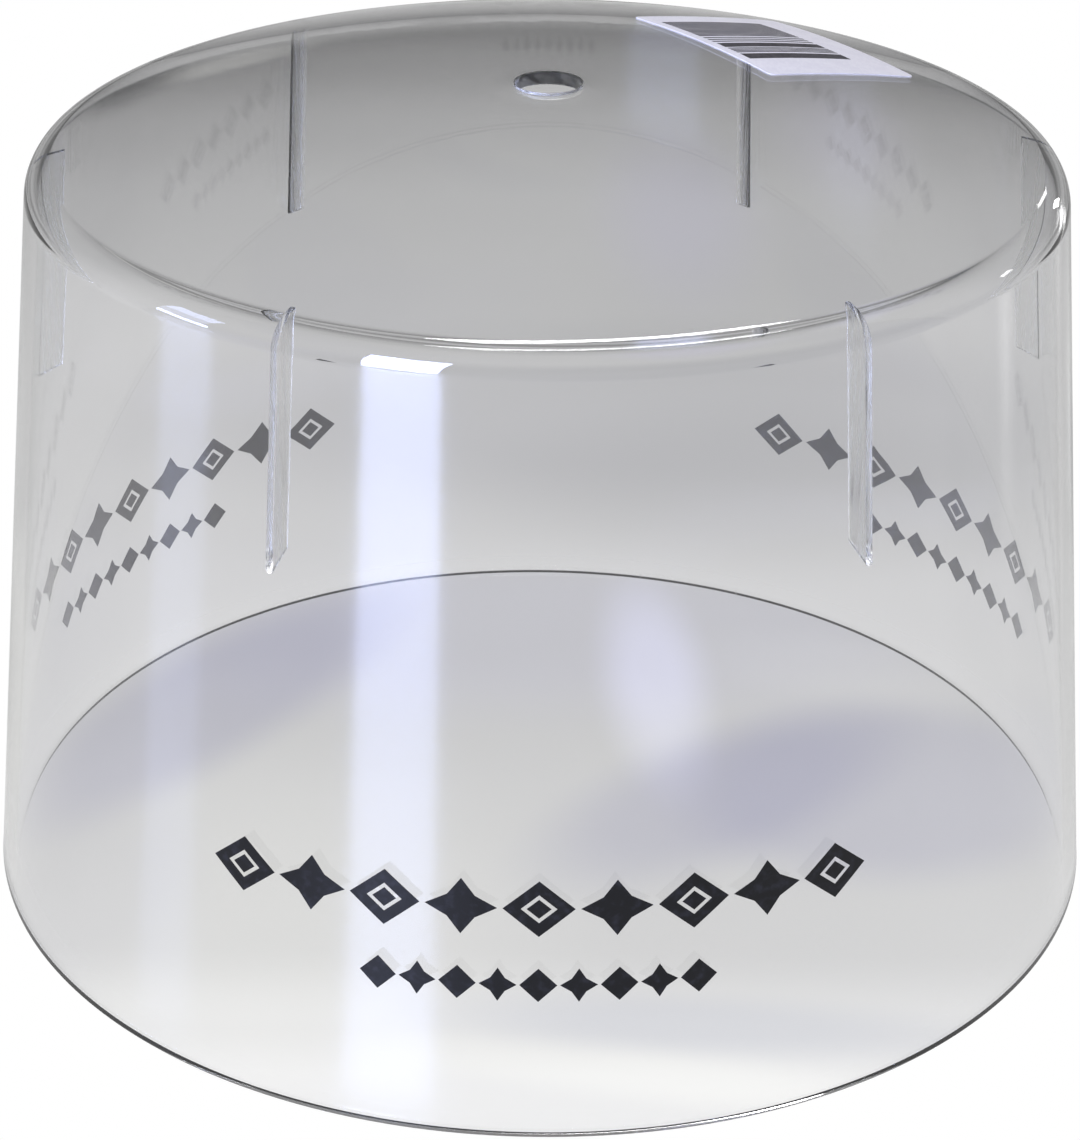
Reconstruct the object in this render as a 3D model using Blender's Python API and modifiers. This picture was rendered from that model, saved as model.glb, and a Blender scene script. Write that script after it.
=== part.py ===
"""A clear moulded plastic food cover: a tapered wall, a shallow domed crown with a centre hole,
six thin ribs inside the shoulder, and a paper label stuck on the crown.

Metres, +Z up. The origin is the centre of the circle that the open rim stands on.
"""

import math

import bmesh
import bpy
from mathutils import Matrix, Vector

# Driving dimensions of the moulding's outside.
RIM_RADIUS = 0.080
TOP_RADIUS = 0.0701
WALL_HEIGHT = 0.1044
CROWN_RISE = 0.0098
SHOULDER_RADIUS = 0.0049
WALL_THICKNESS = 0.0019
RIM_ROUNDING = 0.0004
HOLE_RADIUS = 0.0044

# The six ribs stand on the inner face of the wall, just under the crown. Their turns from the front,
# in degrees towards +X, are a little uneven, as on the real moulding.
RIB_DEPTH = 0.0037
RIB_THICKNESS = 0.0010
RIB_FOOT_HEIGHT = 0.0720
RIB_CHAMFER_HEIGHT = 0.0024
RIB_TURNS = (-27.6, 33.8, 94.5, 153.6, -145.6, -86.2)

# The label lies on the crown behind the hole, to the right.
LABEL_LENGTH = 0.0354
LABEL_WIDTH = 0.0248
LABEL_THICKNESS = 0.00015
LABEL_GAP = 0.0003
LABEL_CORNER = 0.0015
LABEL_CENTRE = Vector((0.0320, 0.0313))
LABEL_TURN = math.radians(120.8)

# How finely the curves are faceted.
TURN_STEPS = 96
CROWN_STEPS = 7
SHOULDER_STEPS = 6
RIM_STEPS = 2
LABEL_CELLS_LONG = 12
LABEL_CELLS_WIDE = 8
LABEL_CORNER_STEPS = 3
MERGE_DISTANCE = 0.00001

# The crown's outside is part of a sphere through the wall's upper edge.
CROWN_RADIUS = (TOP_RADIUS**2 + CROWN_RISE**2) / (2 * CROWN_RISE)
CROWN_CENTRE = Vector((0.0, WALL_HEIGHT + CROWN_RISE - CROWN_RADIUS))
WALL_UP = Vector((TOP_RADIUS - RIM_RADIUS, WALL_HEIGHT)).normalized()
WALL_OUTWARD = Vector((WALL_UP.y, -WALL_UP.x))


def wall_point(height, inset):
    """The (radius, height) of the point on the wall's line, that far in from the outer face."""
    foot = Vector((RIM_RADIUS, 0.0)) - WALL_OUTWARD * inset
    return foot + WALL_UP * ((height - foot.y) / WALL_UP.y)


def crown_point(radius, inset):
    """The (radius, height) of the point on the crown's arc, that far under the outer face."""
    reach = CROWN_RADIUS - inset
    return Vector((radius, CROWN_CENTRE.y + math.sqrt(reach**2 - radius**2)))


def shoulder_centre():
    """Where a circle of the shoulder's radius touches both the wall's line and the crown's arc."""
    start = wall_point(0.0, SHOULDER_RADIUS) - CROWN_CENTRE
    reach = CROWN_RADIUS - SHOULDER_RADIUS
    along = start.dot(WALL_UP)
    return CROWN_CENTRE + start + WALL_UP * (math.sqrt(along**2 - start.length_squared + reach**2) - along)


def arc(centre, radius, start, end, steps):
    """Points on an arc between two angles, both ends included."""
    angles = [start + (end - start) * i / steps for i in range(steps + 1)]
    return [centre + radius * Vector((math.cos(a), math.sin(a))) for a in angles]


def shell_line(inset, crown_from, wall_to):
    """A line at one depth in the shell, from a radius on the crown, over the shoulder, down the wall."""
    centre = shoulder_centre()
    crown_side = (centre - CROWN_CENTRE).normalized()
    shoulder = arc(
        centre,
        SHOULDER_RADIUS - inset,
        math.atan2(crown_side.y, crown_side.x),
        math.atan2(WALL_OUTWARD.y, WALL_OUTWARD.x),
        SHOULDER_STEPS,
    )
    crown_to = shoulder[0].x
    radii = [crown_from + (crown_to - crown_from) * i / CROWN_STEPS for i in range(CROWN_STEPS)]
    return [crown_point(r, inset) for r in radii] + shoulder + [wall_point(wall_to, inset)]


def rim_line():
    """The rim from its outer rounding to its inner one, with the flat foot between them."""
    outer_x = wall_point(0.0, 0.0).x - RIM_ROUNDING
    inner_x = wall_point(0.0, WALL_THICKNESS).x + RIM_ROUNDING
    quarter = math.pi / 2
    outer = arc(Vector((outer_x, RIM_ROUNDING)), RIM_ROUNDING, 0.0, -quarter, RIM_STEPS)
    inner = arc(Vector((inner_x, RIM_ROUNDING)), RIM_ROUNDING, -quarter, -2 * quarter, RIM_STEPS)
    return outer + inner


def cover_profile():
    """The closed section of the shell: outside from top to bottom, then the inside back up."""
    wall_end = 3 * RIM_ROUNDING
    outside = shell_line(0.0, HOLE_RADIUS, wall_end)
    inside = shell_line(WALL_THICKNESS, HOLE_RADIUS, wall_end)
    return outside + rim_line() + inside[::-1]


def clear_scene():
    for old in list(bpy.data.objects):
        bpy.data.objects.remove(old, do_unlink=True)


def new_collection(name):
    collection = bpy.data.collections.new(name)
    bpy.context.scene.collection.children.link(collection)
    return collection


def new_object(name, mesh, collection):
    made = bpy.data.objects.new(name, mesh)
    collection.objects.link(made)
    return made


def new_material(name, colour, roughness, transmission=0.0):
    material = bpy.data.materials.new(name)
    material.use_nodes = True
    shader = material.node_tree.nodes["Principled BSDF"]
    shader.inputs["Base Color"].default_value = (*colour, 1.0)
    shader.inputs["Metallic"].default_value = 0.0
    shader.inputs["Roughness"].default_value = roughness
    shader.inputs["Transmission Weight"].default_value = transmission
    return material


def shade_round(mesh):
    mesh.shade_smooth()
    mesh.set_sharp_from_angle(angle=math.radians(35))


def turned_mesh(name, profile, steps):
    """A closed (radius, height) profile turned once round the Z axis."""
    line = bmesh.new()
    corners = [line.verts.new((p.x, 0.0, p.y)) for p in profile]
    for here, there in zip(corners, corners[1:] + corners[:1]):
        line.edges.new((here, there))
    mesh = bpy.data.meshes.new(name)
    line.to_mesh(mesh)
    line.free()

    holder = bpy.data.objects.new(name, mesh)
    bpy.context.scene.collection.objects.link(holder)
    turn = holder.modifiers.new("turn", "SCREW")
    turn.axis = "Z"
    turn.angle = 2 * math.pi
    turn.steps = steps
    turn.render_steps = steps
    turn.use_merge_vertices = True
    turn.merge_threshold = MERGE_DISTANCE
    turned = bpy.data.meshes.new_from_object(holder.evaluated_get(bpy.context.evaluated_depsgraph_get()))
    bpy.data.objects.remove(holder, do_unlink=True)
    bpy.data.meshes.remove(mesh)
    turned.name = name
    return turned


def rib_outline():
    """One rib in its own plane, as (radius, height): its back and top are sunk half way into the shell."""
    half_wall = WALL_THICKNESS / 2
    inner_foot = wall_point(RIB_FOOT_HEIGHT + RIB_CHAMFER_HEIGHT, WALL_THICKNESS + RIB_DEPTH)
    crown_from = wall_point(WALL_HEIGHT, WALL_THICKNESS + RIB_DEPTH).x
    return shell_line(half_wall, crown_from, RIB_FOOT_HEIGHT) + [inner_foot]


def add_rib(shapes, turn):
    """A flat fin across the rib's outline, turned to its place round the axis."""
    towards = Vector((math.sin(turn), -math.cos(turn), 0.0))
    across = Vector((math.cos(turn), math.sin(turn), 0.0))
    near_side = -across * (RIB_THICKNESS / 2)
    corners = [shapes.verts.new(towards * p.x + Vector((0.0, 0.0, p.y)) + near_side) for p in rib_outline()]
    face = shapes.faces.new(corners)
    grown = bmesh.ops.extrude_face_region(shapes, geom=[face])
    far_side = [v for v in grown["geom"] if isinstance(v, bmesh.types.BMVert)]
    bmesh.ops.translate(shapes, verts=far_side, vec=across * RIB_THICKNESS)


def make_rib_shapes(collection):
    """All the ribs as one guide, which is joined to the shell and isn't a part by itself."""
    shapes = bmesh.new()
    for turn in RIB_TURNS:
        add_rib(shapes, math.radians(turn))
    bmesh.ops.recalc_face_normals(shapes, faces=shapes.faces[:])
    mesh = bpy.data.meshes.new("rib_shapes")
    shapes.to_mesh(mesh)
    shapes.free()
    ribs = new_object("rib_shapes", mesh, collection)
    ribs.hide_render = True
    ribs.display_type = "WIRE"
    return ribs


def make_cover(collection, ribs):
    """The moulding: wall, shoulder, crown with its hole, and the ribs fused to the inside."""
    mesh = turned_mesh("cover", cover_profile(), TURN_STEPS)
    cover = new_object("cover", mesh, collection)
    mesh.materials.append(new_material("clear_plastic", (0.93, 0.94, 0.95), 0.05, transmission=1.0))
    shade_round(mesh)
    join = cover.modifiers.new("join_ribs", "BOOLEAN")
    join.operation = "UNION"
    join.solver = "EXACT"
    join.object = ribs
    return cover


def label_spot(x, y):
    """Where a point of the flat label lands on the crown, just clear of it."""
    place = Matrix.Rotation(LABEL_TURN, 2) @ Vector((x, y)) + LABEL_CENTRE
    return Vector((place.x, place.y, crown_point(place.length, -LABEL_GAP).y))


def make_label(collection):
    """A rectangle with rounded corners, laid on the crown's curve and given the paper's thickness."""
    sheet = bmesh.new()
    bmesh.ops.create_grid(sheet, x_segments=LABEL_CELLS_LONG, y_segments=LABEL_CELLS_WIDE, size=0.5)
    bmesh.ops.scale(sheet, verts=sheet.verts[:], vec=(LABEL_LENGTH, LABEL_WIDTH, 1.0))
    corners = [v for v in sheet.verts if len(v.link_edges) == 2]
    bmesh.ops.bevel(
        sheet,
        geom=corners,
        offset=LABEL_CORNER,
        segments=LABEL_CORNER_STEPS,
        profile=0.5,
        affect="VERTICES",
        material=-1,
    )
    for vertex in sheet.verts:
        vertex.co = label_spot(vertex.co.x, vertex.co.y)
    mesh = bpy.data.meshes.new("label")
    sheet.to_mesh(mesh)
    sheet.free()
    label = new_object("label", mesh, collection)
    mesh.materials.append(new_material("white_paper", (0.86, 0.86, 0.88), 0.6))
    paper = label.modifiers.new("paper", "SOLIDIFY")
    paper.thickness = LABEL_THICKNESS
    paper.offset = 1.0
    return label


def main():
    clear_scene()
    parts = new_collection("food_cover")
    guides = new_collection("guides")
    make_cover(parts, make_rib_shapes(guides))
    make_label(parts)


main()
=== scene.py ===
"""Looks for the clear plastic food cover: the finished moulding, its printed band and paper label,
with a pale floor, soft studio light and the camera."""

import math

import bmesh
import bpy
from mathutils import Matrix, Vector


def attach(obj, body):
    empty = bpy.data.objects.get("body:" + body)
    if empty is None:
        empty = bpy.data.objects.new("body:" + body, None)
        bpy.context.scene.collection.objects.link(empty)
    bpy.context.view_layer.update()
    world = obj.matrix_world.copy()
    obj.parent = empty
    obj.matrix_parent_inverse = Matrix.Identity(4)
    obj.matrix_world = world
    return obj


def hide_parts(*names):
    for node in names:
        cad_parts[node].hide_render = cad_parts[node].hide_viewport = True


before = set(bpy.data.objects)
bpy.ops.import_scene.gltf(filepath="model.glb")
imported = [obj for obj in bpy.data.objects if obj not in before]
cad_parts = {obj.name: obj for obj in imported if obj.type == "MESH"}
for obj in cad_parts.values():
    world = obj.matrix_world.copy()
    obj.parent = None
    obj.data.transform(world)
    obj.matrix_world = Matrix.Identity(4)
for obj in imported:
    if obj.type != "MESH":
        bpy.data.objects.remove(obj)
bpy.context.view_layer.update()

# The moulding's dimensions, as in the part's source, with finer roundings and the ribs' draft.
RIM_RADIUS = 0.080
TOP_RADIUS = 0.0701
WALL_HEIGHT = 0.1044
CROWN_RISE = 0.0098
SHOULDER_RADIUS = 0.0049
WALL_THICKNESS = 0.0019
RIM_ROUNDING = 0.0003
HOLE_RADIUS = 0.0044
HOLE_ROUNDING = 0.0003
RIB_DEPTH = 0.0037
RIB_THICKNESS = 0.0010
RIB_DRAFT = 0.0003
RIB_FOOT_HEIGHT = 0.0720
RIB_CHAMFER_HEIGHT = 0.0024
RIB_EDGE_ROUNDING = 0.0003
RIB_TURNS = (-27.6, 33.8, 94.5, 153.6, -145.6, -86.2)

# The label: its far end is the one with the bars.
LABEL_LENGTH = 0.0354
LABEL_WIDTH = 0.0248
LABEL_THICKNESS = 0.00012
LABEL_GAP = 0.00002
LABEL_CORNER = 0.0015
LABEL_CORNER_STEPS = 6
LABEL_CENTRE = Vector((0.0320, 0.0313))
LABEL_TURN = math.radians(120.8)
LABEL_CELLS_LONG = 36
LABEL_CELLS_WIDE = 25
# Groups of bars on the label: from and to, measured from the far end, how many, and the inked share.
BAR_GROUPS = (
    (0.0050, 0.0152, 12, 0.80),
    (0.0159, 0.0188, 3, 0.52),
    (0.0195, 0.0218, 1, 1.00),
    (0.0222, 0.0248, 4, 0.70),
    (0.0254, 0.0280, 1, 1.00),
)
# The bars' two ends, across the label from its middle line.
BAR_ENDS = (-0.0066, 0.0108)

# The print: two rows of motifs, each between two heights, with the row's length along the wall and how
# many motifs share it. The whole print is repeated round the wall.
PRINT_TURNS = (0.0, 120.0, -120.0)
PRINT_GAP = 0.00002
PRINT_THICKNESS = 0.00004
PRINT_COLUMN = 0.0012
TALL_ROW = (0.0290, 0.0367)
TALL_SPAN = (0.0880, 9)
SMALL_ROW = (0.0198, 0.0245)
SMALL_SPAN = (0.0455, 9)
MOTIF_FILL = 0.93
LOZENGE_FRAME = 0.32
LOZENGE_HEART = 0.34
STAR_WAIST = 0.55

# How finely the curves are made.
TURN_STEPS = 288
WALL_STEPS = 12
CROWN_STEPS = 16
SHOULDER_STEPS = 12
EDGE_STEPS = 4
MERGE_DISTANCE = 0.000002
# From how many degrees an edge stays sharp, on the moulding and on the label and print.
MOULDING_SHARP_FROM = 30
SHEET_SHARP_FROM = 40
LARGE_FACE_WEIGHT = 100

CROWN_RADIUS = (TOP_RADIUS**2 + CROWN_RISE**2) / (2 * CROWN_RISE)
CROWN_CENTRE = Vector((0.0, WALL_HEIGHT + CROWN_RISE - CROWN_RADIUS))
WALL_UP = Vector((TOP_RADIUS - RIM_RADIUS, WALL_HEIGHT)).normalized()
WALL_OUTWARD = Vector((WALL_UP.y, -WALL_UP.x))


# The moulding's section.


def wall_point(height, inset):
    """The (radius, height) of the point on the wall's line, that far in from the outer face."""
    foot = Vector((RIM_RADIUS, 0.0)) - WALL_OUTWARD * inset
    return foot + WALL_UP * ((height - foot.y) / WALL_UP.y)


def crown_point(radius, inset):
    """The (radius, height) of the point on the crown's arc, that far under the outer face."""
    reach = CROWN_RADIUS - inset
    return Vector((radius, CROWN_CENTRE.y + math.sqrt(reach**2 - radius**2)))


def shoulder_centre():
    """Where a circle of the shoulder's radius touches both the wall's line and the crown's arc."""
    start = wall_point(0.0, SHOULDER_RADIUS) - CROWN_CENTRE
    reach = CROWN_RADIUS - SHOULDER_RADIUS
    along = start.dot(WALL_UP)
    return CROWN_CENTRE + start + WALL_UP * (math.sqrt(along**2 - start.length_squared + reach**2) - along)


def arc(centre, radius, start, end, steps):
    """Points on an arc between two angles, both ends included."""
    angles = [start + (end - start) * i / steps for i in range(steps + 1)]
    return [centre + radius * Vector((math.cos(a), math.sin(a))) for a in angles]


def between(start, end, steps):
    """Points on a straight line, without its two ends."""
    return [start.lerp(end, i / steps) for i in range(1, steps)]


def shell_line(inset, crown_from, wall_to):
    """A line at one depth in the shell, from a radius on the crown, over the shoulder, down the wall."""
    centre = shoulder_centre()
    crown_side = (centre - CROWN_CENTRE).normalized()
    shoulder = arc(
        centre,
        SHOULDER_RADIUS - inset,
        math.atan2(crown_side.y, crown_side.x),
        math.atan2(WALL_OUTWARD.y, WALL_OUTWARD.x),
        SHOULDER_STEPS,
    )
    crown_to = shoulder[0].x
    radii = [crown_from + (crown_to - crown_from) * i / CROWN_STEPS for i in range(CROWN_STEPS)]
    crown = [crown_point(radius, inset) for radius in radii]
    foot = wall_point(wall_to, inset)
    return crown + shoulder + between(shoulder[-1], foot, WALL_STEPS) + [foot]


def rim_line():
    """The rim from its outer rounding to its inner one, with the flat foot between them."""
    outer_x = wall_point(0.0, 0.0).x - RIM_ROUNDING
    inner_x = wall_point(0.0, WALL_THICKNESS).x + RIM_ROUNDING
    quarter = math.pi / 2
    outer = arc(Vector((outer_x, RIM_ROUNDING)), RIM_ROUNDING, 0.0, -quarter, EDGE_STEPS)
    inner = arc(Vector((inner_x, RIM_ROUNDING)), RIM_ROUNDING, -quarter, -2 * quarter, EDGE_STEPS)
    return outer + inner


def hole_line():
    """The hole's edge, from the inner rounding up to the outer one."""
    x = HOLE_RADIUS + HOLE_ROUNDING
    low = crown_point(x, WALL_THICKNESS) + Vector((0.0, HOLE_ROUNDING))
    high = crown_point(x, 0.0) - Vector((0.0, HOLE_ROUNDING))
    quarter = math.pi / 2
    inner = arc(low, HOLE_ROUNDING, 3 * quarter, 2 * quarter, EDGE_STEPS)
    outer = arc(high, HOLE_ROUNDING, 2 * quarter, quarter, EDGE_STEPS)
    return inner + outer[:-1]


def cover_profile():
    """The closed section of the shell: outside from top to bottom, the inside back up, and the hole."""
    wall_end = 3 * RIM_ROUNDING
    crown_from = HOLE_RADIUS + HOLE_ROUNDING
    outside = shell_line(0.0, crown_from, wall_end)
    inside = shell_line(WALL_THICKNESS, crown_from, wall_end)
    return outside + rim_line() + inside[:0:-1] + hole_line()


def rib_outline():
    """One rib in its own plane, as (radius, height): its back and top are sunk half way into the shell."""
    half_wall = WALL_THICKNESS / 2
    inner_foot = wall_point(RIB_FOOT_HEIGHT + RIB_CHAMFER_HEIGHT, WALL_THICKNESS + RIB_DEPTH)
    crown_from = wall_point(WALL_HEIGHT, WALL_THICKNESS + RIB_DEPTH).x
    return shell_line(half_wall, crown_from, RIB_FOOT_HEIGHT) + [inner_foot]


def rib_half_thickness(point):
    """Half a rib's thickness at a (radius, height): it thins evenly from the wall to the free edge."""
    depth = (wall_point(0.0, WALL_THICKNESS) - point).dot(WALL_OUTWARD)
    return (RIB_THICKNESS - RIB_DRAFT * depth / RIB_DEPTH) / 2


# Mesh helpers.


def new_object(name, shape):
    """Turns a bmesh into an object at the origin."""
    mesh = bpy.data.meshes.new(name)
    shape.to_mesh(mesh)
    shape.free()
    made = bpy.data.objects.new(name, mesh)
    bpy.context.scene.collection.objects.link(made)
    return made


def new_piece(name, shape, *materials):
    """Turns a bmesh into a shown piece that rides with the part."""
    piece = new_object(name, shape)
    for material in materials:
        piece.data.materials.append(material)
    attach(piece, "root")
    return piece


def baked(piece):
    """Applies a piece's modifiers to its mesh."""
    final = bpy.data.meshes.new_from_object(piece.evaluated_get(bpy.context.evaluated_depsgraph_get()))
    final.name = piece.name
    piece.modifiers.clear()
    piece.data = final


def shade_round(piece, sharp_from):
    """Smooth shading, with edges sharper than that many degrees kept."""
    piece.data.shade_smooth()
    piece.data.set_sharp_from_angle(angle=math.radians(sharp_from))


def everything(shape):
    """All of a bmesh, for an operator that cuts through it."""
    return shape.verts[:] + shape.edges[:] + shape.faces[:]


# The moulding.


def turned_shell():
    """The shell as a section spun once round the Z axis; the hole's edge takes its second material."""
    shape = bmesh.new()
    corners = [shape.verts.new((p.x, 0.0, p.y)) for p in cover_profile()]
    edges = [shape.edges.new(pair) for pair in zip(corners, corners[1:] + corners[:1])]
    bmesh.ops.spin(
        shape,
        geom=corners + edges,
        cent=(0.0, 0.0, 0.0),
        axis=(0.0, 0.0, 1.0),
        dvec=(0.0, 0.0, 0.0),
        angle=2 * math.pi,
        steps=TURN_STEPS,
        use_merge=True,
    )
    bmesh.ops.remove_doubles(shape, verts=shape.verts[:], dist=MERGE_DISTANCE)
    bmesh.ops.recalc_face_normals(shape, faces=shape.faces[:])
    for face in shape.faces:
        at_hole = face.calc_center_median().xy.length < HOLE_RADIUS + HOLE_ROUNDING
        face.material_index = int(at_hole)
    return shape


def add_rib(shape, turn):
    """A tapered fin with softened free edges, turned to its place round the axis."""
    towards = Vector((math.sin(turn), -math.cos(turn), 0.0))
    across = Vector((math.cos(turn), math.sin(turn), 0.0))
    corners = [shape.verts.new(towards * p.x + Vector((0.0, 0.0, p.y))) for p in rib_outline()]
    face = shape.faces.new(corners)
    grown = bmesh.ops.extrude_face_region(shape, geom=[face])
    far_side = [v for v in grown["geom"] if isinstance(v, bmesh.types.BMVert)]
    for side, way in ((corners, -across), (far_side, across)):
        for vertex in side:
            vertex.co += way * rib_half_thickness(Vector((vertex.co.dot(towards), vertex.co.z)))
    free_edges = []
    for side in (corners, far_side):
        free_line = [side[0], side[-1], side[-2]]
        free_edges += [e for e in shape.edges if e.verts[0] in free_line and e.verts[1] in free_line]
    bmesh.ops.bevel(
        shape,
        geom=free_edges,
        offset=RIB_EDGE_ROUNDING,
        segments=EDGE_STEPS,
        profile=0.5,
        affect="EDGES",
        material=-1,
    )


def make_cover(polished, cut, matte):
    """The moulding in one mesh: the polished shell, cut at the hole, with matte ribs fused to the inside."""
    cover = new_piece("clear_cover", turned_shell(), polished, cut)
    ribs = bmesh.new()
    for turn in RIB_TURNS:
        add_rib(ribs, math.radians(turn))
    bmesh.ops.recalc_face_normals(ribs, faces=ribs.faces[:])
    rib_shapes = new_object("rib_shapes", ribs)
    rib_shapes.data.materials.append(matte)
    join = cover.modifiers.new("join_ribs", "BOOLEAN")
    join.operation = "UNION"
    join.solver = "EXACT"
    join.material_mode = "TRANSFER"
    join.object = rib_shapes
    baked(cover)
    bpy.data.objects.remove(rib_shapes, do_unlink=True)
    shade_round(cover, MOULDING_SHARP_FROM)
    even = cover.modifiers.new("even_shading", "WEIGHTED_NORMAL")
    even.weight = LARGE_FACE_WEIGHT
    even.keep_sharp = True
    baked(cover)
    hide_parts("cover")


# The label.


def bar_edges():
    """Where each bar on the label starts and ends, measured from the label's far end."""
    edges = []
    for start, end, count, inked in BAR_GROUPS:
        pitch = (end - start) / (count - 1 + inked)
        edges += [(start + pitch * i, start + pitch * (i + inked)) for i in range(count)]
    return edges


def cut_across(shape, axis, places):
    """Cuts a flat sheet along straight lines, so that faces end there."""
    for place in places:
        bmesh.ops.bisect_plane(
            shape,
            geom=everything(shape),
            dist=MERGE_DISTANCE,
            plane_co=axis * place,
            plane_no=axis,
        )


def on_crown(place):
    """Where a point of the flat label lands on the crown."""
    spot = Matrix.Rotation(LABEL_TURN, 2) @ place.xy + LABEL_CENTRE
    return Vector((spot.x, spot.y, crown_point(spot.length, -LABEL_GAP).y))


def make_label(bare, printed):
    """A sheet with rounded corners and a block of printed bars, laid on the crown's curve."""
    sheet = bmesh.new()
    bmesh.ops.create_grid(sheet, x_segments=LABEL_CELLS_LONG, y_segments=LABEL_CELLS_WIDE, size=0.5)
    bmesh.ops.scale(sheet, verts=sheet.verts[:], vec=(LABEL_LENGTH, LABEL_WIDTH, 1.0))
    bmesh.ops.bevel(
        sheet,
        geom=[v for v in sheet.verts if len(v.link_edges) == 2],
        offset=LABEL_CORNER,
        segments=LABEL_CORNER_STEPS,
        profile=0.5,
        affect="VERTICES",
        material=-1,
    )
    far_end = LABEL_LENGTH / 2
    bars = [(far_end - end, far_end - start) for start, end in bar_edges()]
    cut_across(sheet, Vector((1.0, 0.0, 0.0)), [x for bar in bars for x in bar])
    cut_across(sheet, Vector((0.0, 1.0, 0.0)), BAR_ENDS)
    for face in sheet.faces:
        middle = face.calc_center_median()
        in_bar = any(low < middle.x < high for low, high in bars)
        face.material_index = int(in_bar and BAR_ENDS[0] < middle.y < BAR_ENDS[1])
    for vertex in sheet.verts:
        vertex.co = on_crown(vertex.co)
    label = new_piece("paper_label", sheet, bare, printed)
    label.data.shade_smooth()
    depth = label.modifiers.new("paper", "SOLIDIFY")
    depth.thickness = LABEL_THICKNESS
    depth.offset = 1.0
    baked(label)
    shade_round(label, SHEET_SHARP_FROM)
    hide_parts("label")


# The printed band.


def place_motif(shape, corners, centre, wide, tall):
    """Brings a motif of unit size to its width, height and place in the flat print."""
    bmesh.ops.scale(shape, verts=corners, vec=(wide, tall, 1.0))
    bmesh.ops.translate(shape, verts=corners, vec=(centre.x, centre.y, 0.0))


def add_lozenge(shape, centre, wide, tall):
    """A filled lozenge: a circle of four points, stretched."""
    corners = bmesh.ops.create_circle(shape, cap_ends=True, segments=4, radius=0.5)["verts"]
    place_motif(shape, corners, centre, wide, tall)
    return corners


def add_framed_lozenge(shape, centre, wide, tall):
    """A lozenge frame round a small filled one."""
    face = add_lozenge(shape, centre, wide, tall)[0].link_faces[0]
    bmesh.ops.inset_individual(shape, faces=[face], thickness=wide * LOZENGE_FRAME / 2, use_even_offset=True)
    bmesh.ops.delete(shape, geom=[face], context="FACES")
    add_lozenge(shape, centre, wide * LOZENGE_HEART, tall * LOZENGE_HEART)


def add_star(shape, centre, wide, tall):
    """A four-pointed star: a circle of eight points, every second one drawn in."""
    corners = bmesh.ops.create_circle(shape, cap_ends=True, segments=8, radius=0.5)["verts"]
    waist = [v for v in corners if min(abs(v.co.x), abs(v.co.y)) > MERGE_DISTANCE]
    bmesh.ops.scale(shape, verts=waist, vec=(STAR_WAIST, STAR_WAIST, 1.0))
    place_motif(shape, corners, centre, wide, tall)


def add_row(shape, row, span, motifs):
    """A row of motifs that take turns, evenly spaced about the print's middle."""
    low, high = row
    length, count = span
    pitch = length / count
    for i in range(count):
        centre = Vector((pitch * (i + 0.5) - length / 2, (low + high) / 2))
        motifs[i % len(motifs)](shape, centre, pitch * MOTIF_FILL, high - low)


def on_wall(place, turn):
    """Where a point of the flat print lands on the wall: x runs along it, y up it and z out of it."""
    row_radius = wall_point((TALL_ROW[0] + TALL_ROW[1]) / 2, 0.0).x
    spot = wall_point(place.y, -PRINT_GAP - place.z)
    angle = turn + place.x / row_radius
    return Vector((spot.x * math.sin(angle), -spot.x * math.cos(angle), spot.y))


def make_print(name, turn, ink):
    """One copy of the print, cut into narrow columns so that it bends round the wall."""
    shape = bmesh.new()
    add_row(shape, TALL_ROW, TALL_SPAN, (add_framed_lozenge, add_star))
    add_row(shape, SMALL_ROW, SMALL_SPAN, (add_lozenge, add_star))
    half = int(TALL_SPAN[0] / 2 / PRINT_COLUMN) + 1
    cut_across(shape, Vector((1.0, 0.0, 0.0)), [PRINT_COLUMN * i for i in range(-half, half + 1)])
    grown = bmesh.ops.extrude_face_region(shape, geom=shape.faces[:])
    front = [v for v in grown["geom"] if isinstance(v, bmesh.types.BMVert)]
    bmesh.ops.translate(shape, verts=front, vec=(0.0, 0.0, PRINT_THICKNESS))
    for vertex in shape.verts:
        vertex.co = on_wall(vertex.co, math.radians(turn))
    bmesh.ops.recalc_face_normals(shape, faces=shape.faces[:])
    print_piece = new_piece(name, shape, ink)
    shade_round(print_piece, SHEET_SHARP_FROM)


# The camera.

CAMERA_DISTANCE = 0.4707
CAMERA_ELEVATION = math.radians(31.662)
CAMERA_PAN = math.radians(-0.062)
CAMERA_TILT = math.radians(27.272)
CAMERA_ROLL = math.radians(0.623)
CAMERA_LENS = 98.26
CAMERA_REACH = (0.01, 50.0)
SENSOR = 36.0


def make_camera():
    """The photograph's viewpoint: it looks from -Y, down on the cover."""
    data = bpy.data.cameras.new("camera")
    data.sensor_width = SENSOR
    data.lens = CAMERA_LENS
    data.clip_start, data.clip_end = CAMERA_REACH
    camera = bpy.data.objects.new("camera", data)
    bpy.context.scene.collection.objects.link(camera)
    level = math.cos(CAMERA_TILT)
    ahead = Vector((math.sin(CAMERA_PAN) * level, math.cos(CAMERA_PAN) * level, -math.sin(CAMERA_TILT)))
    right = Vector((math.cos(CAMERA_PAN), -math.sin(CAMERA_PAN), 0.0))
    up = right.cross(ahead)
    rolled_right = math.cos(CAMERA_ROLL) * right + math.sin(CAMERA_ROLL) * up
    rolled_up = math.cos(CAMERA_ROLL) * up - math.sin(CAMERA_ROLL) * right
    turn = Matrix((rolled_right, rolled_up, -ahead)).transposed().to_4x4()
    spot = Vector((0.0, -math.cos(CAMERA_ELEVATION), math.sin(CAMERA_ELEVATION))) * CAMERA_DISTANCE
    camera.matrix_world = Matrix.Translation(spot) @ turn
    bpy.context.scene.camera = camera


# Node helpers.

WHITE = (1.0, 1.0, 1.0)


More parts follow.
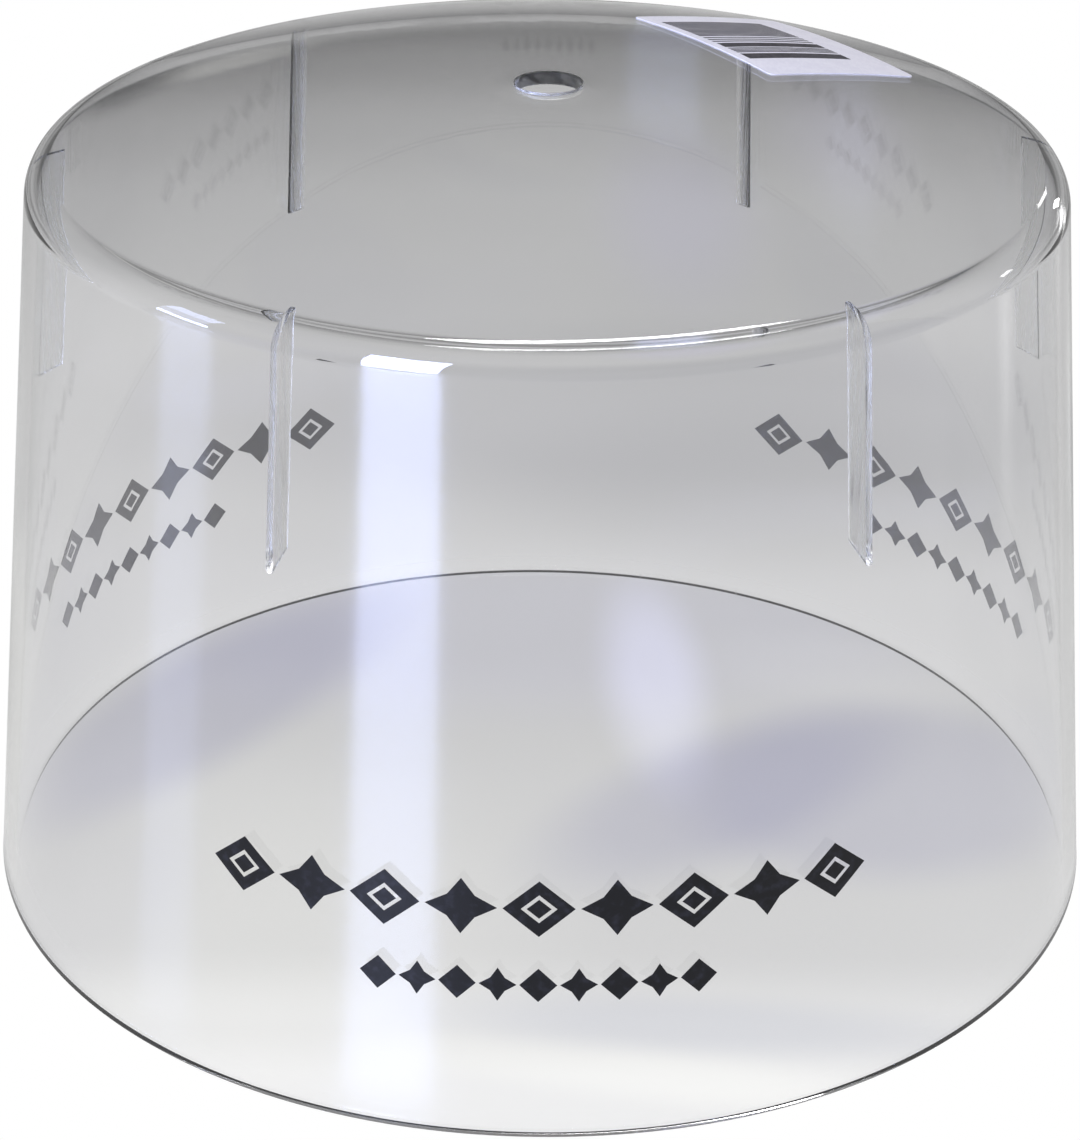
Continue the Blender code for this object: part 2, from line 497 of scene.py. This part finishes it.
def new_material(name):
    """An empty node material with its output."""
    material = bpy.data.materials.new(name)
    material.use_nodes = True
    nodes, links = material.node_tree.nodes, material.node_tree.links
    nodes.clear()
    output = nodes.new("ShaderNodeOutputMaterial")
    return material, nodes, links, output


def grey_ramp(nodes, links, value, stops):
    """A smooth ramp of greys along a value, from (position, brightness) pairs."""
    node = nodes.new("ShaderNodeValToRGB")
    node.color_ramp.interpolation = "EASE"
    elements = node.color_ramp.elements
    while len(elements) > 1:
        elements.remove(elements[-1])
    first_position, first_tone = stops[0]
    elements[0].position, elements[0].color = first_position, (first_tone, first_tone, first_tone, 1.0)
    for position, tone in stops[1:]:
        elements.new(position).color = (tone, tone, tone, 1.0)
    links.new(value, node.inputs["Fac"])
    return node.outputs["Color"]


def mix_shaders(nodes, links, mask, first, second):
    """The first shader where the mask is 0, and the second where it is 1."""
    node = nodes.new("ShaderNodeMixShader")
    links.new(mask, node.inputs["Fac"])
    links.new(first, node.inputs[1])
    links.new(second, node.inputs[2])
    return node.outputs["Shader"]


def white_to_camera(nodes, links, output, shown, plain_kind):
    """Gives the camera itself plain white, and everything else what is shown."""
    plain = nodes.new(plain_kind)
    plain.inputs["Color"].default_value = (*WHITE, 1.0)
    path = nodes.new("ShaderNodeLightPath")
    choice = mix_shaders(nodes, links, path.outputs["Is Camera Ray"], shown, plain.outputs[0])
    links.new(choice, output.inputs["Surface"])


def between_values(nodes, links, value, low, high, to_low=0.0, to_high=1.0):
    """Maps a value's stretch between two ends softly to another stretch."""
    node = nodes.new("ShaderNodeMapRange")
    node.interpolation_type = "SMOOTHSTEP"
    node.inputs["From Min"].default_value = low
    node.inputs["From Max"].default_value = high
    node.inputs["To Min"].default_value = to_low
    node.inputs["To Max"].default_value = to_high
    links.new(value, node.inputs["Value"])
    return node.outputs["Result"]


def calculate(nodes, links, operation, first, second):
    """A math node; each input is a socket or a number."""
    node = nodes.new("ShaderNodeMath")
    node.operation = operation
    for socket, given in zip(node.inputs, (first, second)):
        if isinstance(given, (int, float)):
            socket.default_value = given
        else:
            links.new(given, socket)
    return node.outputs["Value"]


def object_place(nodes):
    """A point's place on its object."""
    return nodes.new("ShaderNodeTexCoord").outputs["Object"]


def noise(nodes, links, place, scale, detail=2.0, stretch=(1.0, 1.0, 1.0)):
    """Noise in object space; a stretch below 1 lengthens it that way."""
    mapping = nodes.new("ShaderNodeMapping")
    mapping.inputs["Scale"].default_value = stretch
    links.new(place, mapping.inputs["Vector"])
    node = nodes.new("ShaderNodeTexNoise")
    node.inputs["Scale"].default_value = scale
    node.inputs["Detail"].default_value = detail
    links.new(mapping.outputs["Vector"], node.inputs["Vector"])
    return node.outputs["Fac"]


def blend_colours(nodes, links, mask, first, second, blend_type="MIX"):
    """Mixes two colours by a mask; each colour is a socket or three numbers."""
    node = nodes.new("ShaderNodeMix")
    node.data_type = "RGBA"
    node.blend_type = blend_type
    links.new(mask, node.inputs["Factor"])
    colour_sockets = [s for s in node.inputs if s.type == "RGBA"]
    for socket, given in zip(colour_sockets, (first, second)):
        if isinstance(given, tuple):
            socket.default_value = (*given, 1.0)
        else:
            links.new(given, socket)
    return [s for s in node.outputs if s.type == "RGBA"][0]


def new_group(name, inputs, outputs):
    """A shader node group with a place socket, float inputs and float outputs."""
    group = bpy.data.node_groups.new(name, "ShaderNodeTree")
    group.interface.new_socket("Place", in_out="INPUT", socket_type="NodeSocketVector")
    for socket_name in inputs:
        group.interface.new_socket(socket_name, in_out="INPUT", socket_type="NodeSocketFloat")
    for socket_name in outputs:
        group.interface.new_socket(socket_name, in_out="OUTPUT", socket_type="NodeSocketFloat")
    given = group.nodes.new("NodeGroupInput").outputs
    result = group.nodes.new("NodeGroupOutput").inputs
    return group, group.nodes, group.links, given, result


def use_group(nodes, links, group, **values):
    """Places a group in a material on its object coordinates."""
    node = nodes.new("ShaderNodeGroup")
    node.node_tree = group
    links.new(object_place(nodes), node.inputs["Place"])
    for socket_name, value in values.items():
        node.inputs[socket_name].default_value = value
    return node.outputs


def bump(nodes, links, height, distance):
    """A bump of that many metres."""
    node = nodes.new("ShaderNodeBump")
    node.inputs["Distance"].default_value = distance
    links.new(height, node.inputs["Height"])
    return node.outputs["Normal"]


# Effects that several finishes use. A scale is in cells to the metre, and a range is the stretch of the
# noise over which the effect comes in.

SMUDGE_SCALE = 45.0
SMUDGE_RANGE = (0.62, 0.82)
SCRATCH_SCALE = 2600.0
SCRATCH_DETAIL = 1.0
SCRATCH_STRETCH = (1.0, 1.0, 0.012)
SCRATCH_RANGE = (0.70, 0.80)
SCRATCHED_AREA_SCALE = 70.0
SCRATCHED_AREA_RANGE = (0.50, 0.62)
RIPPLE_SCALE = 38.0
RIPPLE_DETAIL = 0.0
FIBRE_SCALE = 2200.0
FIBRE_DETAIL = 3.0
FIBRE_STRETCH = (1.0, 0.35, 1.0)
CLOUD_SCALE = 260.0
MIDDLE_RANGE = (0.35, 0.65)


def handling_marks():
    """Fine wear of a smooth plastic surface: cloudy smudges, hair scratches and a slow moulding ripple."""
    group, nodes, links, given, result = new_group(
        "handling_marks", ("Polish", "Marks"), ("Roughness", "Height")
    )
    place = given["Place"]
    smudge = between_values(nodes, links, noise(nodes, links, place, SMUDGE_SCALE), *SMUDGE_RANGE)
    upright = noise(nodes, links, place, SCRATCH_SCALE, SCRATCH_DETAIL, SCRATCH_STRETCH)
    scratch = between_values(nodes, links, upright, *SCRATCH_RANGE)
    area = noise(nodes, links, place, SCRATCHED_AREA_SCALE)
    scratched_area = between_values(nodes, links, area, *SCRATCHED_AREA_RANGE)
    scratch = calculate(nodes, links, "MULTIPLY", scratch, scratched_area)
    wear = calculate(nodes, links, "MAXIMUM", smudge, scratch)
    worn = calculate(nodes, links, "MULTIPLY", wear, given["Marks"])
    links.new(calculate(nodes, links, "ADD", worn, given["Polish"]), result["Roughness"])
    links.new(noise(nodes, links, place, RIPPLE_SCALE, RIPPLE_DETAIL), result["Height"])
    return group


def paper_fibre():
    """The fibres and slight cloudiness of coated paper."""
    group, nodes, links, given, result = new_group("paper_fibre", ("Depth",), ("Tone", "Height"))
    place = given["Place"]
    fibres = noise(nodes, links, place, FIBRE_SCALE, FIBRE_DETAIL, FIBRE_STRETCH)
    clouds = noise(nodes, links, place, CLOUD_SCALE)
    average = calculate(nodes, links, "MULTIPLY", calculate(nodes, links, "ADD", fibres, clouds), 0.5)
    links.new(between_values(nodes, links, average, *MIDDLE_RANGE), result["Tone"])
    links.new(calculate(nodes, links, "MULTIPLY", fibres, given["Depth"]), result["Height"])
    return group


# Finishes. A matte pair is the least and the most roughness, a tones pair the palest and the deepest
# colour, and a relief is in metres.

PLASTIC_IOR = 1.57
PLASTIC_RELIEF = 0.00002
CLEAR_TINT = (0.96, 0.96, 0.965)
CLEAR_MARKS = 0.055
RIB_TINT = (0.90, 0.90, 0.885)
RIB_GLOSS_TINT = (0.30, 0.30, 0.28)
RIB_MATTE = (0.10, 0.30)
RIB_STREAK_SCALE = 1500.0
RIB_STREAK_STRETCH = (1.0, 1.0, 0.02)
# The cut edge's darker tint is painted shade that darkens the ring round the hole.
CUT_PAINTED_SHADE_TINT = (0.55, 0.55, 0.54)
CUT_GLOSS_TINT = (0.10, 0.10, 0.10)
CUT_MATTE = (0.35, 0.65)
CUT_GRAIN_SCALE = 1200.0
CUT_GRAIN_STRETCH = (1.0, 1.0, 1.0)
INK_TONES = ((0.014, 0.014, 0.018), (0.004, 0.004, 0.005))
INK_COVER_SCALE = 900.0
INK_COVER_DETAIL = 3.0
INK_COVER_RANGE = (0.45, 0.75)
INK_SPECULAR = 0.25
INK_POLISH = 0.36
INK_MARKS = 0.20
PAPER_TONES = ((0.86, 0.84, 0.90), (0.80, 0.78, 0.85))
PAPER_ROUGHNESS = 0.55
PAPER_RELIEF = 0.00001
BARS_TONES = ((0.07, 0.065, 0.075), (0.03, 0.028, 0.035))
BARS_ROUGHNESS = 0.45


def moulded_plastic(name, tint, gloss_tint=WHITE):
    """The clear plastic itself, which lets the lamps' light through; its finish is added to the shader."""
    material, nodes, links, output = new_material(name)
    shader = nodes.new("ShaderNodeBsdfPrincipled")
    shader.inputs["Base Color"].default_value = (*tint, 1.0)
    shader.inputs["Specular Tint"].default_value = (*gloss_tint, 1.0)
    shader.inputs["Metallic"].default_value = 0.0
    shader.inputs["IOR"].default_value = PLASTIC_IOR
    shader.inputs["Transmission Weight"].default_value = 1.0
    through = nodes.new("ShaderNodeBsdfTransparent")
    shadow_ray = nodes.new("ShaderNodeLightPath").outputs["Is Shadow Ray"]
    surface = mix_shaders(nodes, links, shadow_ray, shader.outputs["BSDF"], through.outputs["BSDF"])
    links.new(surface, output.inputs["Surface"])
    return material, nodes, links, shader


def clear_plastic(marks):
    """The polished moulding."""
    material, nodes, links, shader = moulded_plastic("clear_plastic", CLEAR_TINT)
    wear = use_group(nodes, links, marks, Polish=0.0, Marks=CLEAR_MARKS)
    links.new(wear["Roughness"], shader.inputs["Roughness"])
    links.new(bump(nodes, links, wear["Height"], PLASTIC_RELIEF), shader.inputs["Normal"])
    return material


def matte_plastic(name, tint, gloss_tint, grain_scale, grain_stretch, matte):
    """Plastic with an unpolished, grained surface."""
    material, nodes, links, shader = moulded_plastic(name, tint, gloss_tint)
    grain = noise(nodes, links, object_place(nodes), grain_scale, stretch=grain_stretch)
    links.new(between_values(nodes, links, grain, *MIDDLE_RANGE, *matte), shader.inputs["Roughness"])
    links.new(bump(nodes, links, grain, PLASTIC_RELIEF), shader.inputs["Normal"])
    return material


def rib_plastic():
    """The ribs' finish, left matte and streaked upwards by the mould's narrow slots."""
    return matte_plastic(
        "rib_plastic", RIB_TINT, RIB_GLOSS_TINT, RIB_STREAK_SCALE, RIB_STREAK_STRETCH, RIB_MATTE
    )


def cut_plastic():
    """The hole's rough edge, where the gate was cut off, darkened by a tint of painted shade."""
    return matte_plastic(
        "cut_plastic", CUT_PAINTED_SHADE_TINT, CUT_GLOSS_TINT, CUT_GRAIN_SCALE, CUT_GRAIN_STRETCH, CUT_MATTE
    )


def print_ink(marks):
    """Black screen ink with a satin surface and faintly uneven cover."""
    material, nodes, links, output = new_material("black_ink")
    shader = nodes.new("ShaderNodeBsdfPrincipled")
    uneven = noise(nodes, links, object_place(nodes), INK_COVER_SCALE, INK_COVER_DETAIL)
    thin = between_values(nodes, links, uneven, *INK_COVER_RANGE)
    pale, deep = INK_TONES
    links.new(blend_colours(nodes, links, thin, deep, pale), shader.inputs["Base Color"])
    shader.inputs["Specular IOR Level"].default_value = INK_SPECULAR
    wear = use_group(nodes, links, marks, Polish=INK_POLISH, Marks=INK_MARKS)
    links.new(wear["Roughness"], shader.inputs["Roughness"])
    links.new(bump(nodes, links, wear["Height"], PLASTIC_RELIEF), shader.inputs["Normal"])
    links.new(shader.outputs["BSDF"], output.inputs["Surface"])
    return material


def paper_finish(name, fibre, tones, roughness):
    """Coated paper, bare or printed, between two close tones."""
    material, nodes, links, output = new_material(name)
    shader = nodes.new("ShaderNodeBsdfPrincipled")
    shader.inputs["Roughness"].default_value = roughness
    paper = use_group(nodes, links, fibre, Depth=1.0)
    pale, deep = tones
    links.new(blend_colours(nodes, links, paper["Tone"], deep, pale), shader.inputs["Base Color"])
    links.new(bump(nodes, links, paper["Height"], PAPER_RELIEF), shader.inputs["Normal"])
    links.new(shader.outputs["BSDF"], output.inputs["Surface"])
    return material


# The floor, the surroundings and the lamps.

FLOOR_RADIUS = 6.0
FLOOR_STEPS = 64
FLOOR_DROP = 0.0002
FLOOR_NEAR = -0.20
FLOOR_FAR = 0.60
FLOOR_IOR = 1.5
# How the floor mirrors the lamps, outside the cover's rim and inside it: how widely, and how strongly.
GLOSS_SPREAD = (0.20, 0.50)
GLOSS_STRENGTH = (1.0, 0.25)
# How softly the gloss and the tone change at the rim, as shares of its radius.
GLOSS_FADE = 0.30
TONE_FADE = 0.02
# The floor's painted light and shade inside the rim, darkest where the cover's painted shadow falls, as (Y,
# brightness).
INNER_PAINTED_LIGHT = (
    (-0.068, 0.90),
    (-0.055, 0.79),
    (-0.035, 0.65),
    (0.000, 0.62),
    (0.033, 0.58),
    (0.052, 0.555),
    (0.080, 0.56),
)
# Painted soft lights and shades that the cover and the lamps throw there, as (centre, half length and width,
# turn, softness, tint).
INNER_PAINTED_LIGHT_PATCHES = (
    ((0.028, 0.006), (0.032, 0.014), 42.0, 0.45, (0.82, 0.82, 0.91)),
    ((0.054, 0.008), (0.032, 0.024), 10.0, 0.30, (0.84, 0.84, 0.93)),
    ((0.000, 0.058), (0.075, 0.026), 0.0, 0.50, (0.96, 0.96, 1.03)),
    ((-0.054, 0.032), (0.045, 0.014), 55.0, 0.40, (0.80, 0.80, 0.90)),
    ((-0.066, -0.022), (0.014, 0.024), 0.0, 0.50, (0.93, 0.93, 0.95)),
    ((-0.040, -0.028), (0.036, 0.036), 0.0, 0.60, (1.11, 1.11, 1.09)),
    ((0.022, -0.054), (0.032, 0.006), -4.0, 0.60, (0.88, 0.89, 0.93)),
    ((0.018, -0.066), (0.032, 0.005), -10.0, 0.70, (1.08, 1.08, 1.06)),
    ((0.0185, 0.042), (0.0072, 0.028), 3.0, 0.65, (1.26, 1.27, 1.42)),
    ((0.050, 0.046), (0.022, 0.010), -10.0, 0.60, (1.07, 1.07, 1.06)),
)
# The same for the floor beside and behind the cover: painted light and shade, with the cover's painted
# shadow behind it, dark painted patches further back and a bright painted streak.
OUTER_PAINTED_LIGHT = (
    (-0.150, 0.96),
    (-0.060, 0.90),
    (-0.020, 0.78),
    (0.075, 0.75),
    (0.100, 0.71),
    (0.190, 0.70),
    (0.260, 0.67),
    (0.320, 0.585),
    (0.385, 0.44),
    (0.430, 0.36),
    (0.520, 0.34),
    (0.600, 0.90),
)
OUTER_PAINTED_LIGHT_PATCHES = (
    ((-0.095, 0.050), (0.045, 0.060), 0.0, 0.50, (1.07, 1.07, 1.06)),
    ((-0.125, 0.170), (0.035, 0.050), 0.0, 0.50, (1.10, 1.10, 1.10)),
    ((0.108, 0.112), (0.025, 0.040), 0.0, 0.50, (0.92, 0.92, 0.92)),
    ((0.030, 0.145), (0.100, 0.038), 0.0, 0.50, (0.82, 0.82, 0.84)),
    ((0.045, 0.115), (0.050, 0.030), 0.0, 0.50, (0.90, 0.90, 0.90)),
    ((0.048, 0.190), (0.045, 0.045), 0.0, 0.60, (0.93, 0.93, 0.93)),
    ((0.031, 0.262), (0.015, 0.048), 0.0, 0.70, (1.00, 0.99, 1.09)),
    ((0.075, 0.325), (0.014, 0.045), 0.0, 0.80, (1.12, 1.11, 1.20)),
    ((-0.135, 0.400), (0.030, 0.060), 0.0, 0.30, (0.15, 0.15, 0.16)),
    ((0.128, 0.450), (0.040, 0.072), 0.0, 0.25, (0.15, 0.17, 0.18)),
    ((0.022, 0.500), (0.009, 0.035), 0.0, 0.40, (0.25, 0.25, 0.25)),
    ((0.000, 0.465), (0.030, 0.020), 0.0, 0.50, (0.75, 0.75, 0.75)),
    ((-0.088, 0.397), (0.028, 0.009), 52.0, 0.50, (1.90, 1.90, 1.84)),
)


def soft_patch(nodes, links, place, centre, half, turn, softness):
    """A mask that is 1 in an ellipse on the floor and fades out at its edge."""
    mapping = nodes.new("ShaderNodeMapping")
    mapping.vector_type = "TEXTURE"
    mapping.inputs["Location"].default_value = (*centre, 0.0)
    mapping.inputs["Rotation"].default_value = (0.0, 0.0, math.radians(turn))
    mapping.inputs["Scale"].default_value = (*half, 1.0)
    links.new(place, mapping.inputs["Vector"])
    far = nodes.new("ShaderNodeVectorMath")
    far.operation = "LENGTH"
    links.new(mapping.outputs["Vector"], far.inputs[0])
    return between_values(nodes, links, far.outputs["Value"], 1.0 - softness, 1.0 + softness, 1.0, 0.0)


def inside_rim(nodes, links, place, softness):
    """A mask that is 1 on the floor inside the cover's rim."""
    return soft_patch(nodes, links, place, (0.0, 0.0), (RIM_RADIUS, RIM_RADIUS), 0.0, softness)


def along_floor(nodes, links, place):
    """How far back a point of the floor is, from 0 at its near end to 1 at its far end."""
    split = nodes.new("ShaderNodeSeparateXYZ")
    links.new(place, split.inputs[0])
    span = nodes.new("ShaderNodeMapRange")
    span.inputs["From Min"].default_value = FLOOR_NEAR
    span.inputs["From Max"].default_value = FLOOR_FAR
    links.new(split.outputs["Y"], span.inputs["Value"])
    return span.outputs["Result"]


def glow_of_painted_light(nodes, links, place, along, tones, patches):
    """The floor's own glow of painted light and shade, from tones along Y with soft patches laid over them.
    """
    stops = [((y - FLOOR_NEAR) / (FLOOR_FAR - FLOOR_NEAR), tone) for y, tone in tones]
    colour = grey_ramp(nodes, links, along, stops)
    for centre, half, turn, softness, tint in patches:
        mask = soft_patch(nodes, links, place, centre, half, turn, softness)
        colour = blend_colours(nodes, links, mask, colour, tint, "MULTIPLY")
    glow = nodes.new("ShaderNodeEmission")
    links.new(colour, glow.inputs["Color"])
    return glow.outputs["Emission"]


def floor_gloss(nodes, links, place):
    """The floor's gloss, and a mask of how much of it shows."""
    sheltered = inside_rim(nodes, links, place, GLOSS_FADE)
    gloss = nodes.new("ShaderNodeBsdfGlossy")
    spread = between_values(nodes, links, sheltered, 0.0, 1.0, *GLOSS_SPREAD)
    links.new(spread, gloss.inputs["Roughness"])
    fresnel = nodes.new("ShaderNodeFresnel")
    fresnel.inputs["IOR"].default_value = FLOOR_IOR
    strength = between_values(nodes, links, sheltered, 0.0, 1.0, *GLOSS_STRENGTH)
    return gloss.outputs["BSDF"], calculate(nodes, links, "MULTIPLY", fresnel.outputs["Fac"], strength)


def floor_material():
    """White to the camera; through the cover, graded tones of painted light and shade under a soft gloss.

    It isn't sampled as a lamp, which would slow the render.
    """
    material, nodes, links, output = new_material("pale_floor")
    material.cycles.emission_sampling = "NONE"
    place = object_place(nodes)
    along = along_floor(nodes, links, place)
    outer = glow_of_painted_light(nodes, links, place, along, OUTER_PAINTED_LIGHT, OUTER_PAINTED_LIGHT_PATCHES)
    inner = glow_of_painted_light(nodes, links, place, along, INNER_PAINTED_LIGHT, INNER_PAINTED_LIGHT_PATCHES)
    toned = mix_shaders(nodes, links, inside_rim(nodes, links, place, TONE_FADE), outer, inner)
    gloss, shine = floor_gloss(nodes, links, place)
    surface = mix_shaders(nodes, links, shine, toned, gloss)
    white_to_camera(nodes, links, output, surface, "ShaderNodeEmission")
    return material


def make_floor():
    """A wide disc just under the cover's foot."""
    shape = bmesh.new()
    bmesh.ops.create_circle(shape, cap_ends=True, segments=FLOOR_STEPS, radius=FLOOR_RADIUS)
    bmesh.ops.translate(shape, verts=shape.verts[:], vec=(0.0, 0.0, -FLOOR_DROP))
    floor = new_object("floor", shape)
    floor.data.materials.append(floor_material())


# The studio round the cover, by the height of the view: open sides, and a darker side behind.
OPEN_TONES = ((0.0, 0.45), (0.3, 0.42), (1.0, 0.50))
BEHIND_TONES = ((0.0, 0.35), (0.10, 0.12), (0.75, 0.12), (1.0, 0.50))
# Where the darker side comes in, along the view's Y.
BEHIND_RANGE = (0.15, 0.55)


def make_surroundings():
    """The studio that the plastic mirrors; the camera itself sees plain white."""
    world = bpy.data.worlds.new("studio")
    bpy.context.scene.world = world
    world.use_nodes = True
    nodes, links = world.node_tree.nodes, world.node_tree.links
    nodes.clear()
    output = nodes.new("ShaderNodeOutputWorld")
    split = nodes.new("ShaderNodeSeparateXYZ")
    links.new(nodes.new("ShaderNodeTexCoord").outputs["Generated"], split.inputs[0])
    tones = [grey_ramp(nodes, links, split.outputs["Z"], stops) for stops in (OPEN_TONES, BEHIND_TONES)]
    behind = between_values(nodes, links, split.outputs["Y"], *BEHIND_RANGE)
    around = nodes.new("ShaderNodeBackground")
    links.new(blend_colours(nodes, links, behind, *tones), around.inputs["Color"])
    white_to_camera(nodes, links, output, around.outputs["Background"], "ShaderNodeBackground")


LAMP_REACH = 3.0
LAMP_AIM = Vector((0.0, -0.04, 0.08))
DAYLIGHT = (0.55, 0.63, 1.0)
# Each lamp's name, azimuth, elevation, angular width and height, radiance, colour and roll.
LAMPS = (
    ("window_front_left", -29.6, 16.5, 16.5, 31.0, 26.0, DAYLIGHT, 0.0),
    ("window_left_head", -81.3, 23.5, 12.5, 9.0, 8.0, DAYLIGHT, 0.0),
    ("window_left", -81.3, 15.0, 12.5, 8.0, 3.5, DAYLIGHT, 0.0),
    ("window_left_foot", -80.5, 8.0, 14.0, 4.5, 22.0, DAYLIGHT, 0.0),
    ("tube_behind", 173.8, 66.7, 33.4, 7.6, 16.0, WHITE, 54.2),
    ("far_lamp_right", 145.0, 8.0, 3.0, 6.0, 14.0, WHITE, 0.0),
    ("high_lamp_right", 156.0, 20.0, 3.0, 4.0, 5.0, WHITE, 0.0),
    ("near_lamp_right", 114.0, 13.5, 4.0, 4.0, 7.0, WHITE, 0.0),
)
# The one lamp that shows through the plastic as well as in it.
SHOWS_THROUGH = "tube_behind"


def add_lamp(name, azimuth, elevation, across, tall, radiance, colour, roll):
    """A soft rectangular lamp that faces the cover; the plastic mirrors it, but the camera doesn't see it.

    The azimuth turns from the camera's side towards +X; across and tall are its angular size, in degrees.
    """
    width = 2 * LAMP_REACH * math.tan(math.radians(across) / 2)
    height = 2 * LAMP_REACH * math.tan(math.radians(tall) / 2)
    data = bpy.data.lights.new(name, "AREA")
    data.shape = "RECTANGLE"
    data.size = width
    data.size_y = height
    data.color = colour
    data.energy = radiance * math.pi * width * height
    lamp = bpy.data.objects.new(name, data)
    bpy.context.scene.collection.objects.link(lamp)
    az, el = math.radians(azimuth), math.radians(elevation)
    towards = Vector((math.sin(az) * math.cos(el), -math.cos(az) * math.cos(el), math.sin(el)))
    facing = towards.to_track_quat("Z", "Y").to_matrix() @ Matrix.Rotation(math.radians(roll), 3, "Z")
    lamp.matrix_world = Matrix.Translation(LAMP_AIM + towards * LAMP_REACH) @ facing.to_4x4()
    lamp.visible_camera = False
    lamp.visible_transmission = name == SHOWS_THROUGH


def main():
    """Dresses the part, and then sets its floor, light and camera."""
    marks = handling_marks()
    fibre = paper_fibre()
    make_cover(clear_plastic(marks), cut_plastic(), rib_plastic())
    bare = paper_finish("white_paper", fibre, PAPER_TONES, PAPER_ROUGHNESS)
    printed = paper_finish("printed_paper", fibre, BARS_TONES, BARS_ROUGHNESS)
    make_label(bare, printed)
    ink = print_ink(marks)
    for i, turn in enumerate(PRINT_TURNS):
        make_print(f"print_{i + 1}", turn, ink)
    make_floor()
    make_surroundings()
    for lamp in LAMPS:
        add_lamp(*lamp)
    make_camera()
    bpy.context.scene.view_settings.view_transform = "Standard"


main()
